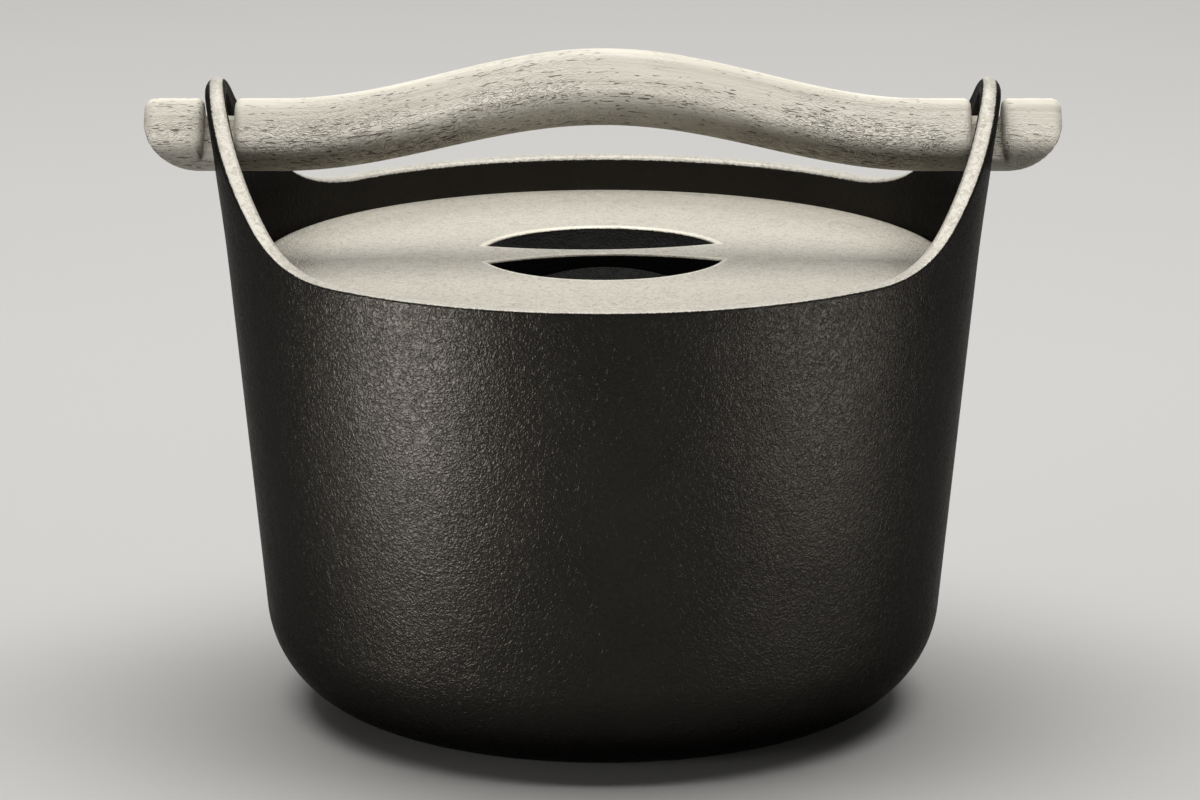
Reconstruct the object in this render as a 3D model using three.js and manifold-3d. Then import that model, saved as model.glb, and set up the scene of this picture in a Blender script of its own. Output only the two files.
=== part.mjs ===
// A cast iron pot with a drop-in lid and a loose arched wooden handle.
// Millimetres, +Z up. The origin is the centre of the flat base, and the handle runs along X.
import * as THREE from "three";
import { mergeVertices } from "three/addons/utils/BufferGeometryUtils.js";
import Module from "manifold-3d";

const wasm = await Module();
wasm.setup();

const degrees = THREE.MathUtils.degToRad;

// Pot wall: a straight taper on a rounded base
const rimRadius = 100;
const rimHeight = 128;
const wallTaper = 0.099; // outward run of the wall for each unit of height
const baseFillet = 29.5;
const rimWall = 4.3; // wall of the rim and the ears, measured level
const rimOuterRound = 0.9; // round-over of the rim and the ears, outside
const rimInnerRound = 1.6; // the same, inside
const baseWall = 4.8; // floor, and the wall where the base turns up
const ledgeWidth = 4; // the step inside the rim that carries the lid

// Ears: the rim raised along the wall's taper, in one smooth outline seen from the side
const earRise = 40.4; // top of an ear above the rim
const earTopRadius = 20;
const earFlankAngle = degrees(39.5); // slope of an ear's flank, from level
const earBlendRadius = 42; // hollow curve from the rim into the flank
const earBar = 4.6; // iron left above the handle's hole
const earSwell = 1.2; // how much thicker an ear's top is than the rim, all of it outwards

// Lid: a low dome that drops inside the rim
const lidDrop = 8.5; // lid's upper edge below the rim
const lidThickness = 4.9;
const lidDome = 2.2;
const lidEdgeRadius = 4.2;
const lidClearance = 0.7; // between the lid's edge and the wall
const lidTurn = degrees(3); // how the loose lid lies in the pot

// Pocket in the lid, with a waisted bridge for the handle's end to hook under
const pocketRadius = 32.75;
const pocketDepth = 17;
const pocketWall = 3.6;
const bridgeWidth = 6; // at its waist
const bridgeWaistRadius = 70; // hollow sides, seen from above
const bridgeThickness = 3.6; // at its middle
const bridgeArchRadius = 66; // hollow underside, seen from the front

// Handle: a bar with a rounded triangular section, arched between the ears
const handleHeight = 18; // at its ends
const handleSwell = 1.1; // extra height at the middle
const handleTopRadius = 6.2;
const handleSideRadius = 5.7;
const handleSideSpan = 6.5; // side curves' centres from the middle plane
const handleOverhang = 19.5; // from the bar of an ear to the handle's end
const archRise = 12.3;
const archInset = 16.7; // straight stretch between an ear and the arch
const handleClearance = 0.6; // in the ears' holes, all round
const notchDepth = 4.7;
const notchPlay = 2.2; // on each side of an ear's wall
const endTopRadius = 3.3;
const endFaceHeight = 7.2; // upright part of an end, from the top
const endBevelRun = 13.5; // how far in the sloped underside of an end reaches
const endBevelBend = new THREE.Vector2(5, 2); // where that slope bends, in from the end and up

// Gap under a piece that rests on another
const seatGap = 0.3;

// Steps of the round surfaces
const potSteps = 100; // round the pot
const lidSteps = 72; // round the lid
const arcSteps = 4; // each profile arc gets twice as many
const sectionSteps = 5; // each arc of an extruded outline gets twice as many
const barSteps = 44; // along the handle
const outlinePasses = 6; // to find the ears' outline on the leaning wall

// How far a cutting shape runs past what it cuts
const cutMargin = 5;
// Vertices nearer than this are one
const weldDistance = 1e-4;

// The levels that the pieces share
const earTop = rimHeight + earRise;
const holeTop = earTop - earBar;
const holeBottom = holeTop - handleHeight - 2 * handleClearance;
const handleBottom = holeBottom + seatGap;
const lidEdgeHeight = rimHeight - lidDrop;
const lidTop = lidEdgeHeight + lidDome;
const lidBottom = lidEdgeHeight - lidThickness;
const ledgeHeight = lidBottom - seatGap;

// Radius of the pot's outside at a height
function outerRadius(height) {
  return rimRadius + wallTaper * (height - rimHeight);
}

const lidRadius = outerRadius(ledgeHeight) - rimWall - lidClearance;
const ledgeRadius = outerRadius(ledgeHeight) - rimWall - ledgeWidth;

// The bar of an ear, above its hole, is what the handle's notches catch
const earPlane = outerRadius(holeTop) - rimWall / 2;
const handleEnd = earPlane + handleOverhang;
const archHalf = earPlane - archInset;
const notchWidth = rimWall + 2 * notchPlay;

// Length of a cutting shape that passes through the whole pot
const throughPot = 2 * (outerRadius(earTop) + cutMargin);

// A closed geometry as a solid that can be cut and joined
function solidFrom(geometry) {
  geometry.deleteAttribute("normal");
  geometry.deleteAttribute("uv");
  const welded = mergeVertices(geometry, weldDistance);
  return new wasm.Manifold(
    new wasm.Mesh({
      numProp: 3,
      vertProperties: welded.attributes.position.array,
      triVerts: new Uint32Array(welded.index.array),
    }),
  );
}

// A profile of radius and height, turned about Z
function turned(profile, steps) {
  const geometry = new THREE.LatheGeometry(profile.getPoints(arcSteps), steps);
  return geometry.rotateX(Math.PI / 2);
}

// An outline drawn in Y and Z, extruded along X and centred on X = 0
const outlineToX = new THREE.Matrix4().makeBasis(
  new THREE.Vector3(0, 1, 0),
  new THREE.Vector3(0, 0, 1),
  new THREE.Vector3(1, 0, 0),
);
function extrudedAlongX(outline, length, steps = 1) {
  const options = { depth: length, steps, curveSegments: sectionSteps, bevelEnabled: false };
  const geometry = new THREE.ExtrudeGeometry(outline, options);
  return geometry.translate(0, 0, -length / 2).applyMatrix4(outlineToX);
}

// An outline drawn in X and Z, extruded along Y and centred on Y = 0
function extrudedAlongY(outline, length) {
  const options = { depth: length, curveSegments: sectionSteps, bevelEnabled: false };
  const geometry = new THREE.ExtrudeGeometry(outline, options);
  return geometry.translate(0, 0, -length / 2).rotateX(Math.PI / 2);
}

// An outline drawn in X and Y, extruded upwards between two heights
function extrudedUp(outline, low, high) {
  const options = { depth: high - low, curveSegments: sectionSteps, bevelEnabled: false };
  return new THREE.ExtrudeGeometry(outline, options).translate(0, 0, low);
}

// The pot's section: base, fillet, tapered wall, rounded rim, then the ledge and the inside to the floor
function potProfile() {
  const taperAngle = Math.atan(wallTaper);
  const filletCentre = outerRadius(baseFillet) - baseFillet / Math.cos(taperAngle);
  const insideFillet = baseFillet - baseWall;
  const rimInside = rimRadius - rimWall;
  const outerEdge = rimHeight - rimOuterRound;
  const innerEdge = rimHeight - rimInnerRound;

  // The inside wall runs from the ledge to the inside fillet, and touches it smoothly
  const toLedge = new THREE.Vector2(ledgeRadius - filletCentre, ledgeHeight - baseFillet);
  const touchAngle = toLedge.angle() - Math.acos(insideFillet / toLedge.length());

  const profile = new THREE.Path();
  profile.moveTo(0, 0);
  profile.lineTo(filletCentre, 0);
  profile.absarc(filletCentre, baseFillet, baseFillet, -Math.PI / 2, -taperAngle, false);
  profile.lineTo(outerRadius(lidEdgeHeight), lidEdgeHeight);
  profile.lineTo(outerRadius(outerEdge), outerEdge);
  profile.quadraticCurveTo(rimRadius, rimHeight, rimRadius - rimOuterRound, rimHeight);
  profile.lineTo(rimInside + rimInnerRound, rimHeight);
  profile.quadraticCurveTo(rimInside, rimHeight, outerRadius(innerEdge) - rimWall, innerEdge);
  profile.lineTo(outerRadius(ledgeHeight) - rimWall, ledgeHeight);
  profile.lineTo(ledgeRadius, ledgeHeight);
  profile.absarc(filletCentre, baseFillet, insideFillet, touchAngle, -Math.PI / 2, true);
  profile.lineTo(0, baseWall);
  return profile;
}

// Height of the rim at a distance from the handle's plane: round ear top, flank, hollow blend, level rim
function rimOutline(y) {
  const sine = Math.sin(earFlankAngle);
  const cosine = Math.cos(earFlankAngle);
  const flankTop = earTop - earTopRadius * (1 - cosine);
  const flankBottom = rimHeight + earBlendRadius * (1 - cosine);
  const flankInside = earTopRadius * sine;
  const flankOutside = flankInside + (flankTop - flankBottom) / Math.tan(earFlankAngle);
  const earFoot = flankOutside + earBlendRadius * sine;
  if (y <= flankInside) {
    return earTop - earTopRadius + Math.sqrt(earTopRadius ** 2 - y ** 2);
  }
  if (y <= flankOutside) {
    return flankTop - (y - flankInside) * Math.tan(earFlankAngle);
  }
  if (y <= earFoot) {
    return rimHeight + earBlendRadius - Math.sqrt(earBlendRadius ** 2 - (earFoot - y) ** 2);
  }
  return rimHeight;
}

// The same at a direction from the axis, given by its sine from the handle's plane. The wall leans out
// as it rises, so the height is found in a few passes.
function rimHeightTowards(sine) {
  let height = rimHeight;
  for (let pass = 0; pass < outlinePasses; pass += 1) {
    height = rimOutline(outerRadius(height) * Math.abs(sine));
  }
  return height;
}

// Raises the rim of the turned shell into the two ears, along the wall's own taper, and thickens them
// outwards as they rise
function raiseEars(shell) {
  const points = shell.attributes.position;
  const point = new THREE.Vector3();
  for (let i = 0; i < points.count; i += 1) {
    point.fromBufferAttribute(points, i);
    if (point.z > lidEdgeHeight) {
      const radius = Math.hypot(point.x, point.y);
      const rise = rimHeightTowards(point.y / radius) - rimHeight;
      const acrossWall = (radius - outerRadius(point.z) + rimWall) / rimWall;
      const swell = (earSwell * acrossWall * rise) / earRise;
      const spread = 1 + (wallTaper * rise + swell) / radius;
      points.setXYZ(i, point.x * spread, point.y * spread, point.z + rise);
    }
  }
  return shell;
}

// The handle's section, standing on a height: one curve on top and one at each side, with straight
// flanks and a straight underside. A positive grow makes it larger all round.
function handleSection(bottom, grow = 0) {
  const topCentre = bottom + handleHeight - handleTopRadius;
  const sideCentre = bottom + handleSideRadius;
  const fall = topCentre - sideCentre;
  const between = Math.hypot(handleSideSpan, fall);
  const lean = Math.asin((handleTopRadius - handleSideRadius) / between);
  const flank = Math.atan2(handleSideSpan, fall) + lean;
  const topRadius = handleTopRadius + grow;
  const sideRadius = handleSideRadius + grow;
  const down = -Math.PI / 2;

  const section = new THREE.Shape();
  section.absarc(handleSideSpan, sideCentre, sideRadius, down, flank, false);
  section.absarc(0, topCentre, topRadius, flank, Math.PI - flank, false);
  section.absarc(-handleSideSpan, sideCentre, sideRadius, Math.PI - flank, Math.PI - down, false);
  return section;
}

function makePotBody() {
  const shell = solidFrom(raiseEars(turned(potProfile(), potSteps)));
  const holeSection = handleSection(holeBottom + handleClearance, handleClearance);
  const holes = solidFrom(extrudedAlongX(holeSection, throughPot));
  return shell.subtract(holes);
}

// The lid's plate: domed top, rounded edge, flat seat, hollow underside
function lidPlateProfile() {
  const edgeStart = lidRadius - lidEdgeRadius;
  const seatInside = ledgeRadius - lidClearance;
  const profile = new THREE.Path();
  profile.moveTo(0, lidTop - lidThickness);
  profile.quadraticCurveTo(seatInside / 2, lidTop - lidThickness, seatInside, lidBottom);
  profile.lineTo(lidRadius, lidBottom);
  profile.absarc(edgeStart, lidEdgeHeight - lidEdgeRadius, lidEdgeRadius, 0, Math.PI / 2, false);
  profile.quadraticCurveTo(edgeStart / 2, lidTop, 0, lidTop);
  return profile;
}

// A round-bottomed dish about the lid's axis. A positive grow makes it larger all round.
function dishProfile(top, grow) {
  const sphere = (pocketRadius ** 2 + pocketDepth ** 2) / (2 * pocketDepth);
  const centre = lidTop - pocketDepth + sphere;
  const radius = sphere + grow;
  const rimLevel = Math.min(top, lidTop);
  const rimAngle = Math.acos((centre - rimLevel) / radius);
  const profile = new THREE.Path();
  profile.moveTo(0, centre - radius);
  profile.absarc(0, centre, radius, -Math.PI / 2, -Math.PI / 2 + rimAngle, false);
  profile.lineTo(radius * Math.sin(rimAngle), top);
  profile.lineTo(0, top);
  return profile;
}

// The bridge: hollow sides seen from above, and a hollow underside seen from the front
function makeBridge() {
  const reach = pocketRadius + cutMargin;
  const sideAngle = Math.asin(reach / bridgeWaistRadius);
  const sideCentre = bridgeWidth / 2 + bridgeWaistRadius;
  const up = Math.PI / 2;
  const plan = new THREE.Shape();
  plan.absarc(0, -sideCentre, bridgeWaistRadius, up + sideAngle, up - sideAngle, true);
  plan.absarc(0, sideCentre, bridgeWaistRadius, -up + sideAngle, -up - sideAngle, true);
  const waisted = solidFrom(extrudedUp(plan, lidTop - pocketDepth, lidTop + 2 * cutMargin));

  const archAngle = Math.asin(reach / bridgeArchRadius);
  const archCentre = lidTop - bridgeThickness - bridgeArchRadius;
  const front = new THREE.Shape();
  front.absarc(0, archCentre, bridgeArchRadius, up + archAngle, up - archAngle, true);
  front.lineTo(reach, lidTop + 2 * cutMargin);
  front.lineTo(-reach, lidTop + 2 * cutMargin);
  const arched = solidFrom(extrudedAlongY(front, 2 * reach));
  return waisted.intersect(arched);
}

function makeLid() {
  const plate = solidFrom(turned(lidPlateProfile(), lidSteps));
  const dish = solidFrom(turned(dishProfile(lidTop - lidThickness / 2, pocketWall), lidSteps));
  const pocket = solidFrom(turned(dishProfile(lidTop + cutMargin, 0), lidSteps));
  return plate.add(dish).subtract(pocket.subtract(makeBridge()));
}

// How far up the arch a point along the handle is, from 0 at its ends to 1 at the middle
function archShare(x) {
  if (Math.abs(x) >= archHalf) {
    return 0;
  }
  return (1 + Math.cos((Math.PI * x) / archHalf)) / 2;
}

// Raises a straight bar along the arch and swells its middle
function bendAlongArch(geometry) {
  const points = geometry.attributes.position;
  for (let i = 0; i < points.count; i += 1) {
    const share = archShare(points.getX(i));
    const swell = (handleSwell * (points.getZ(i) - handleBottom)) / handleHeight;
    points.setZ(i, points.getZ(i) + share * (archRise + swell));
  }
  return geometry;
}

// The handle seen from the front, tall enough to hold the arch, with its ends rounded and bevelled
function handleSideOutline() {
  const handleTop = handleBottom + handleHeight;
  const above = handleTop + archRise + handleSwell + cutMargin;
  const cornerX = handleEnd - endTopRadius;
  const cornerZ = handleTop - endTopRadius;
  const bevelTop = handleTop - endFaceHeight;
  const bendX = handleEnd - endBevelBend.x;
  const bendZ = handleBottom + endBevelBend.y;
  const bevelInside = handleEnd - endBevelRun;

  const outline = new THREE.Shape();
  outline.moveTo(-bevelInside, handleBottom);
  outline.lineTo(bevelInside, handleBottom);
  outline.quadraticCurveTo(bendX, bendZ, handleEnd, bevelTop);
  outline.absarc(cornerX, cornerZ, endTopRadius, 0, Math.PI / 2, false);
  outline.lineTo(archHalf, handleTop);
  outline.lineTo(archHalf, above);
  outline.lineTo(-archHalf, above);
  outline.lineTo(-archHalf, handleTop);
  outline.absarc(-cornerX, cornerZ, endTopRadius, Math.PI / 2, Math.PI, false);
  outline.lineTo(-handleEnd, bevelTop);
  outline.quadraticCurveTo(-bendX, bendZ, -bevelInside, handleBottom);
  return outline;
}

// What a notch takes away: a slab across the bar, less the neck that an ear's hole fits over when
// the handle is raised
function makeNotchCut(side) {
  const across = handleSection(handleBottom, cutMargin);
  const neck = handleSection(handleBottom - notchDepth);
  const slab = solidFrom(extrudedAlongX(across, notchWidth));
  const core = solidFrom(extrudedAlongX(neck, notchWidth + cutMargin));
  return slab.subtract(core).translate([side * earPlane, 0, 0]);
}

function makeHandle() {
  const section = handleSection(handleBottom);
  const bar = solidFrom(bendAlongArch(extrudedAlongX(section, 2 * handleEnd + cutMargin, barSteps)));
  const ends = solidFrom(extrudedAlongY(handleSideOutline(), throughPot));
  let handle = bar.intersect(ends);
  for (const side of [-1, 1]) {
    handle = handle.subtract(makeNotchCut(side));
  }
  return handle;
}

// A solid as a named mesh with its own material
function meshOf(name, solid, look) {
  const { vertProperties, triVerts } = solid.getMesh();
  const geometry = new THREE.BufferGeometry();
  geometry.setAttribute("position", new THREE.BufferAttribute(vertProperties, 3));
  geometry.setIndex(new THREE.BufferAttribute(triVerts, 1));
  geometry.computeVertexNormals();
  const mesh = new THREE.Mesh(geometry, new THREE.MeshStandardMaterial(look));
  mesh.name = name;
  return mesh;
}

const castIron = { color: 0x32302c, roughness: 0.5, metalness: 0.3 };
const paleIron = { color: 0xa9a498, roughness: 0.55, metalness: 0.3 };
const paleWood = { color: 0xdccfb4, roughness: 0.65, metalness: 0 };

const lid = meshOf("lid", makeLid(), paleIron);
lid.rotation.z = lidTurn;

const pot = new THREE.Group();
pot.add(meshOf("pot_body", makePotBody(), castIron));
pot.add(lid);
pot.add(meshOf("handle", makeHandle(), paleWood));

export default pot;
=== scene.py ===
# A cast iron pot with a drop-in lid and a loose arched wooden handle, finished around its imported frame.
# Shapes are worked out in millimetres, +Z up, with the origin at the centre of the base.
import math

import bmesh
import bpy
import numpy as np
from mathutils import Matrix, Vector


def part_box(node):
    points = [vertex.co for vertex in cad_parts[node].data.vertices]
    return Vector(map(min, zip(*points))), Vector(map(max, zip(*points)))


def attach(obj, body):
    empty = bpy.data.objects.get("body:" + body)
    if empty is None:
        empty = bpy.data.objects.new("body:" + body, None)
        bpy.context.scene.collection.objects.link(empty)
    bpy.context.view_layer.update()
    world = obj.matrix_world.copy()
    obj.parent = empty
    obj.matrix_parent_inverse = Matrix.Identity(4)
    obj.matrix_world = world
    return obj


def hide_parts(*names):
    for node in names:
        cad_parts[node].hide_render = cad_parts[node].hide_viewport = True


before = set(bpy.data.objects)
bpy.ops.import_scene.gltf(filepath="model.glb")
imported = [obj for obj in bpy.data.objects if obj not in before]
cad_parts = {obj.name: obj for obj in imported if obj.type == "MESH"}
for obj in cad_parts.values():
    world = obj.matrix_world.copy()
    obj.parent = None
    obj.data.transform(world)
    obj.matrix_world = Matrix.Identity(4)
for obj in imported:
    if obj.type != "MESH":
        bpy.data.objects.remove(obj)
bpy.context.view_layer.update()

MM = 0.001

# Sizes that the frame gives
EAR_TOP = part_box("pot_body")[1].z / MM
LID_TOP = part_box("lid")[1].z / MM
HANDLE_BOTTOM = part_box("handle")[0].z / MM
HANDLE_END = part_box("handle")[1].x / MM

# Pot wall
RIM_RADIUS = 100.0
RIM_HEIGHT = 128.0
WALL_TAPER = 0.099  # outwards, for each millimetre of height
BASE_FILLET = 29.5
BASE_WALL = 4.8
RIM_WALL = 4.3
LEDGE_WIDTH = 4.0
LEDGE_ROUND = 0.8
RIM_OUTER_ROUND = 0.9
RIM_INNER_ROUND = 1.6
EAR_OUTER_EXTRA = 2.8  # an ear's top is rounder than the rim
EAR_INNER_EXTRA = 0.3

# Ears
EAR_TOP_RADIUS = 20.0
EAR_FLANK = math.radians(39.5)
EAR_BLEND_RADIUS = 42.0  # of the hollow between an ear and the level rim
EAR_BAR = 4.6  # iron above the hole
EAR_SWELL = 1.2  # an ear's top is thicker than the rim, all of it outwards
HOLE_LIP = 1.2  # round-over of an ear's hole, on both sides
HOLE_CENTRE_DROP = 2.0  # a hole's outline is measured from this far below half its height

# Lid
LID_THICKNESS = 4.9
LID_DOME = 2.2
LID_EDGE_RADIUS = 4.2
LID_FOOT_WIDTH = 0.3  # small bevel round the bottom of the edge
LID_FOOT_HEIGHT = 0.4
LID_CLEARANCE = 0.7
LID_TURN = math.radians(3)
SEAT_GAP = 0.3
POCKET_RADIUS = 32.75
POCKET_DEPTH = 17.0
POCKET_WALL = 3.6
HUB_WALLS = 2.5  # the plate's rings start this many pocket walls outside the slots
BRIDGE_WIDTH = 6.0
BRIDGE_WAIST = 70.0  # radius of the bridge's hollow sides
BRIDGE_THICKNESS = 3.6
BRIDGE_ARCH = 66.0  # radius of the bridge's hollow underside
SLOT_ROUND = 0.8
SLOT_LIP_INSET = 0.4  # a slot's lip ends this far inside the pocket's widest radius
SLOT_FOOT = 25.2  # radius at which the slots' walls end, within the pocket's shell
SLOT_WALL_INSET = 0.12  # how far the slots' walls lie behind the pocket's inside

# Handle
HANDLE_HEIGHT = 18.0
HANDLE_SWELL = 1.1  # extra height at the top of the arch
HANDLE_TOP_RADIUS = 6.2
HANDLE_SIDE_RADIUS = 5.7
HANDLE_SIDE_SPAN = 6.5  # from the middle to the centre of a side's curve
HANDLE_CLEARANCE = 0.6
ARCH_RISE = 12.3
ARCH_INSET = 16.7
NOTCH_DEPTH = 4.7
NOTCH_PLAY = 2.2
NOTCH_OUTER_PLAY = 1.5
NOTCH_ROUND = 2.0
NOTCH_STEP = 0.03  # a shoulder's face takes this much of the length
END_ROUND = 3.0
END_FACE = 7.2
END_BEVEL_RUN = 13.5
END_BEVEL_BEND = (5.0, 2.0)
END_BEVEL_SOFT = 0.8  # rounding between an end's sides and its bevel
END_BEVEL_LIFT = 0.35  # how much of an end's rounding its bevel follows
SECTION_CENTRE = 7.0  # a section's outline is measured from this far above its bottom
SECTION_CENTRE_RISE = 0.55  # how much of the bevel that place follows

# Painted sheen and shade. Powers by which the pale iron, a painted sheen, turns dark along a round-over,
# with what an ear's top adds to the rim's
RIM_OUTER_FADE = 2.0
EAR_OUTER_FADE = 2.0
RIM_INNER_FADE = 0.7
EAR_INNER_FADE = 1.3
SLOT_FADE = 8.0
PAINTED_EDGE_HIGHLIGHT = 1.5  # shade of edges with a painted highlight, paler than pale iron
CREST_LEVELS = (9.0, 16.0)  # above the handle's bottom, where its crest begins to be worn and is fully so
PAINTED_SHADE_LEVELS = (2.0, 8.0)  # the same for where the painted shade on its underside is darkest and where it ends

# Colours, as linear red, green and blue
BODY_DARK = (0.032, 0.0291, 0.0255)
# The pale colours paint a sheen on the iron's faces that look up
BODY_PALE = (0.53, 0.503, 0.44)
LID_DARK = (0.006, 0.0057, 0.0053)
LID_PALE = (0.475, 0.448, 0.381)
WOOD_PALE = (0.82, 0.775, 0.66)
WOOD_TAN = (0.71, 0.66, 0.555)
WOOD_DARK = (0.10, 0.085, 0.065)
FLOOR_SEEN = ((0.52, 0.512, 0.494), (0.54, 0.532, 0.513))
FLOOR_BOUNCE = (0.05, 0.049, 0.047)
WORLD_COLOUR = (0.95, 0.94, 0.92)

# Strength of the world to the eye and in reflections, and as light on the pieces
WORLD_SEEN = 0.35
WORLD_LIGHT = 0.03

# Camera, in metres and degrees
CAMERA_PLACE = (0.0, -1.6, 0.4737)
CAMERA_DIP = 13.787
CAMERA_TURN = 0.028
CAMERA_LENS = 185.2
CAMERA_SENSOR = 36.0
FLOOR_REACH = 12.0

# How finely the pot is divided
POT_COLUMNS = 576
EAR_COLUMNS = 16  # on each side of an ear's middle, round its hole
EAR_ROWS = 14
HOLE_ROWS = 6
FLOOR_ROWS = 5
FILLET_ROWS = 24
INSIDE_FILLET_ROWS = 20
WALL_ROWS = 12
UPPER_ROWS = 30  # where the wall is raised into the ears
RIM_OUTER_ROWS = 6
RIM_TOP_ROWS = 4
RIM_INNER_ROWS = 7
LEDGE_ROWS = 4

# How finely the lid is divided
LID_HALF_COLUMNS = 180
BRIDGE_COLUMNS = 120
PLATE_ROWS = 20
PLATE_EDGE_ROWS = 10
PLATE_UNDER_ROWS = 12
SLOT_TOP_ROWS = 8
SLOT_WALL_ROWS = 6
SLOT_UNDER_ROWS = 4
POCKET_ROWS = 40
POCKET_SHIFT = 1 / 3  # the pocket's columns lie this share of a column beside the plate's

# How finely the handle is divided
HANDLE_COLUMNS = 112
HANDLE_ROWS = 90
END_ROWS = 16
SHOULDER_SHARES = (0.7, 0.4, 0.2, 0.07, 0.0)  # rows on a notch's round-over, as shares of its radius
END_SHARES = (0.75, 0.5, 0.32, 0.18, 0.08, 0.02, 0.0)  # the same on an end's round-over
END_RINGS = (0.66, 0.33)  # sizes of the rings on an end's face

SHARP_ANGLE = math.radians(50)  # edges that turn by more are shown sharp
SLIVER = 0.004  # thinner faces are dissolved where two meshes are joined
FAR = 1000.0  # beyond every outline

# Levels and places that follow from these
HOLE_TOP = EAR_TOP - EAR_BAR
HOLE_BOTTOM = HOLE_TOP - HANDLE_HEIGHT - 2 * HANDLE_CLEARANCE
LID_EDGE = LID_TOP - LID_DOME
LID_BOTTOM = LID_EDGE - LID_THICKNESS
LEDGE_HEIGHT = LID_BOTTOM - SEAT_GAP
POCKET_BOTTOM = LID_TOP - POCKET_DEPTH
POCKET_SPHERE = (POCKET_RADIUS**2 + POCKET_DEPTH**2) / (2 * POCKET_DEPTH)
POCKET_CENTRE = POCKET_BOTTOM + POCKET_SPHERE


def outer_radius(height):
    """Radius of the pot's outside at a height."""
    return RIM_RADIUS + WALL_TAPER * (height - RIM_HEIGHT)


LID_RADIUS = outer_radius(LEDGE_HEIGHT) - RIM_WALL - LID_CLEARANCE
LEDGE_RADIUS = outer_radius(LEDGE_HEIGHT) - RIM_WALL - LEDGE_WIDTH
EAR_PLANE = outer_radius(HOLE_TOP) - RIM_WALL / 2
ARCH_HALF = EAR_PLANE - ARCH_INSET


class Surface:
    """Points and faces of a piece while it is built.

    Each point has a shade. On iron it goes from 0, dark, to 1, pale, a painted sheen, and on past 1 to a
    paler painted highlight. On the handle it is how far up the arch the point lies.
    """

    def __init__(self):
        self.points = []
        self.shades = []
        self.faces = []
        self.count = 0

    def add(self, x, y, z, shade=0.0):
        """Adds a row of points and returns their numbers."""
        x, y, z, shade = np.broadcast_arrays(x, y, z, np.asarray(shade, float))
        row = np.stack([x, y, z], axis=-1).reshape(-1, 3)
        self.points.append(row)
        self.shades.append(shade.reshape(-1))
        numbers = np.arange(self.count, self.count + len(row))
        self.count += len(row)
        return numbers

    def at(self, numbers):
        """The places of numbered points."""
        return np.concatenate(self.points)[numbers]

    def strip(self, first, second):
        """Joins two rings of equal length with quads."""
        first = np.append(first, first[0])
        second = np.append(second, second[0])
        quads = np.stack([first[:-1], first[1:], second[1:], second[:-1]], axis=-1)
        self.faces.extend(quads.tolist())

    def strips(self, rows):
        """Joins each ring to the next."""
        for first, second in zip(rows[:-1], rows[1:]):
            self.strip(first, second)

    def fan(self, row, middle):
        """Closes a ring of points on one middle point."""
        after = np.roll(row, -1)
        self.faces.extend([int(a), int(b), int(middle[0])] for a, b in zip(row, after))

    def piece(self, name, material, turn=0.0):
        """Makes the piece as an object in metres, turned about Z."""
        points = np.concatenate(self.points)
        cosine, sine = math.cos(turn), math.sin(turn)
        spin = np.array([[cosine, -sine, 0.0], [sine, cosine, 0.0], [0.0, 0.0, 1.0]])
        mesh = bpy.data.meshes.new(name)
        mesh.from_pydata((points @ spin.T * MM).tolist(), [], self.faces)
        shade = mesh.attributes.new("shade", "FLOAT", "POINT")
        shade.data.foreach_set("value", np.concatenate(self.shades).astype(np.float32))
        shell = bmesh.new()
        shell.from_mesh(mesh)
        bmesh.ops.recalc_face_normals(shell, faces=shell.faces)
        shell.to_mesh(mesh)
        shell.free()
        mesh.polygons.foreach_set("use_smooth", np.ones(len(mesh.polygons), bool))
        mesh.set_sharp_from_angle(angle=SHARP_ANGLE)
        mesh.materials.append(material)
        obj = bpy.data.objects.new(name, mesh)
        bpy.context.scene.collection.objects.link(obj)
        return obj


def joined(first, second):
    """Makes one closed mesh of two pieces that overlap. The second piece goes."""
    union = first.modifiers.new("union", "BOOLEAN")
    union.operation = "UNION"
    union.solver = "MANIFOLD"
    union.object = second
    mesh = bpy.data.meshes.new_from_object(first.evaluated_get(bpy.context.evaluated_depsgraph_get()))
    first.modifiers.clear()
    first.data = mesh
    shell = bmesh.new()
    shell.from_mesh(mesh)
    bmesh.ops.dissolve_degenerate(shell, dist=SLIVER * MM, edges=shell.edges)
    # A point between only two edges would leave two faces back to back once the mesh is in triangles
    between_two = [vert for vert in shell.verts if len(vert.link_edges) == 2]
    bmesh.ops.dissolve_verts(shell, verts=between_two)
    shell.to_mesh(mesh)
    shell.free()
    mesh.set_sharp_from_angle(angle=SHARP_ANGLE)
    bpy.data.objects.remove(second)
    return first


def steps(start, end, count):
    """Evenly spaced values that leave out the start and include the end."""
    return np.linspace(start, end, count + 1)[1:]


# Shapes of the pot


def rim_outline(y):
    """Height of the rim at a distance from the handle's plane: ear top, flank, hollow blend, level."""
    sine, cosine, slope = math.sin(EAR_FLANK), math.cos(EAR_FLANK), math.tan(EAR_FLANK)
    flank_top = EAR_TOP - EAR_TOP_RADIUS * (1 - cosine)
    flank_bottom = RIM_HEIGHT + EAR_BLEND_RADIUS * (1 - cosine)
    flank_inside = EAR_TOP_RADIUS * sine
    flank_outside = flank_inside + (flank_top - flank_bottom) / slope
    foot = flank_outside + EAR_BLEND_RADIUS * sine
    top = EAR_TOP - EAR_TOP_RADIUS + np.sqrt(np.maximum(EAR_TOP_RADIUS**2 - y**2, 0))
    flank = flank_top - (y - flank_inside) * slope
    to_foot = np.clip(foot - y, 0, EAR_BLEND_RADIUS)
    blend = RIM_HEIGHT + EAR_BLEND_RADIUS - np.sqrt(EAR_BLEND_RADIUS**2 - to_foot**2)
    return np.select([y <= flank_inside, y <= flank_outside], [top, flank], blend)


def rim_height_towards(angle, passes=6):
    """The same at a direction from the axis, found in a few passes because the wall leans out."""
    height = np.full_like(angle, RIM_HEIGHT)
    for _ in range(passes):
        height = rim_outline(outer_radius(height) * np.abs(np.sin(angle)))
    return height


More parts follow.
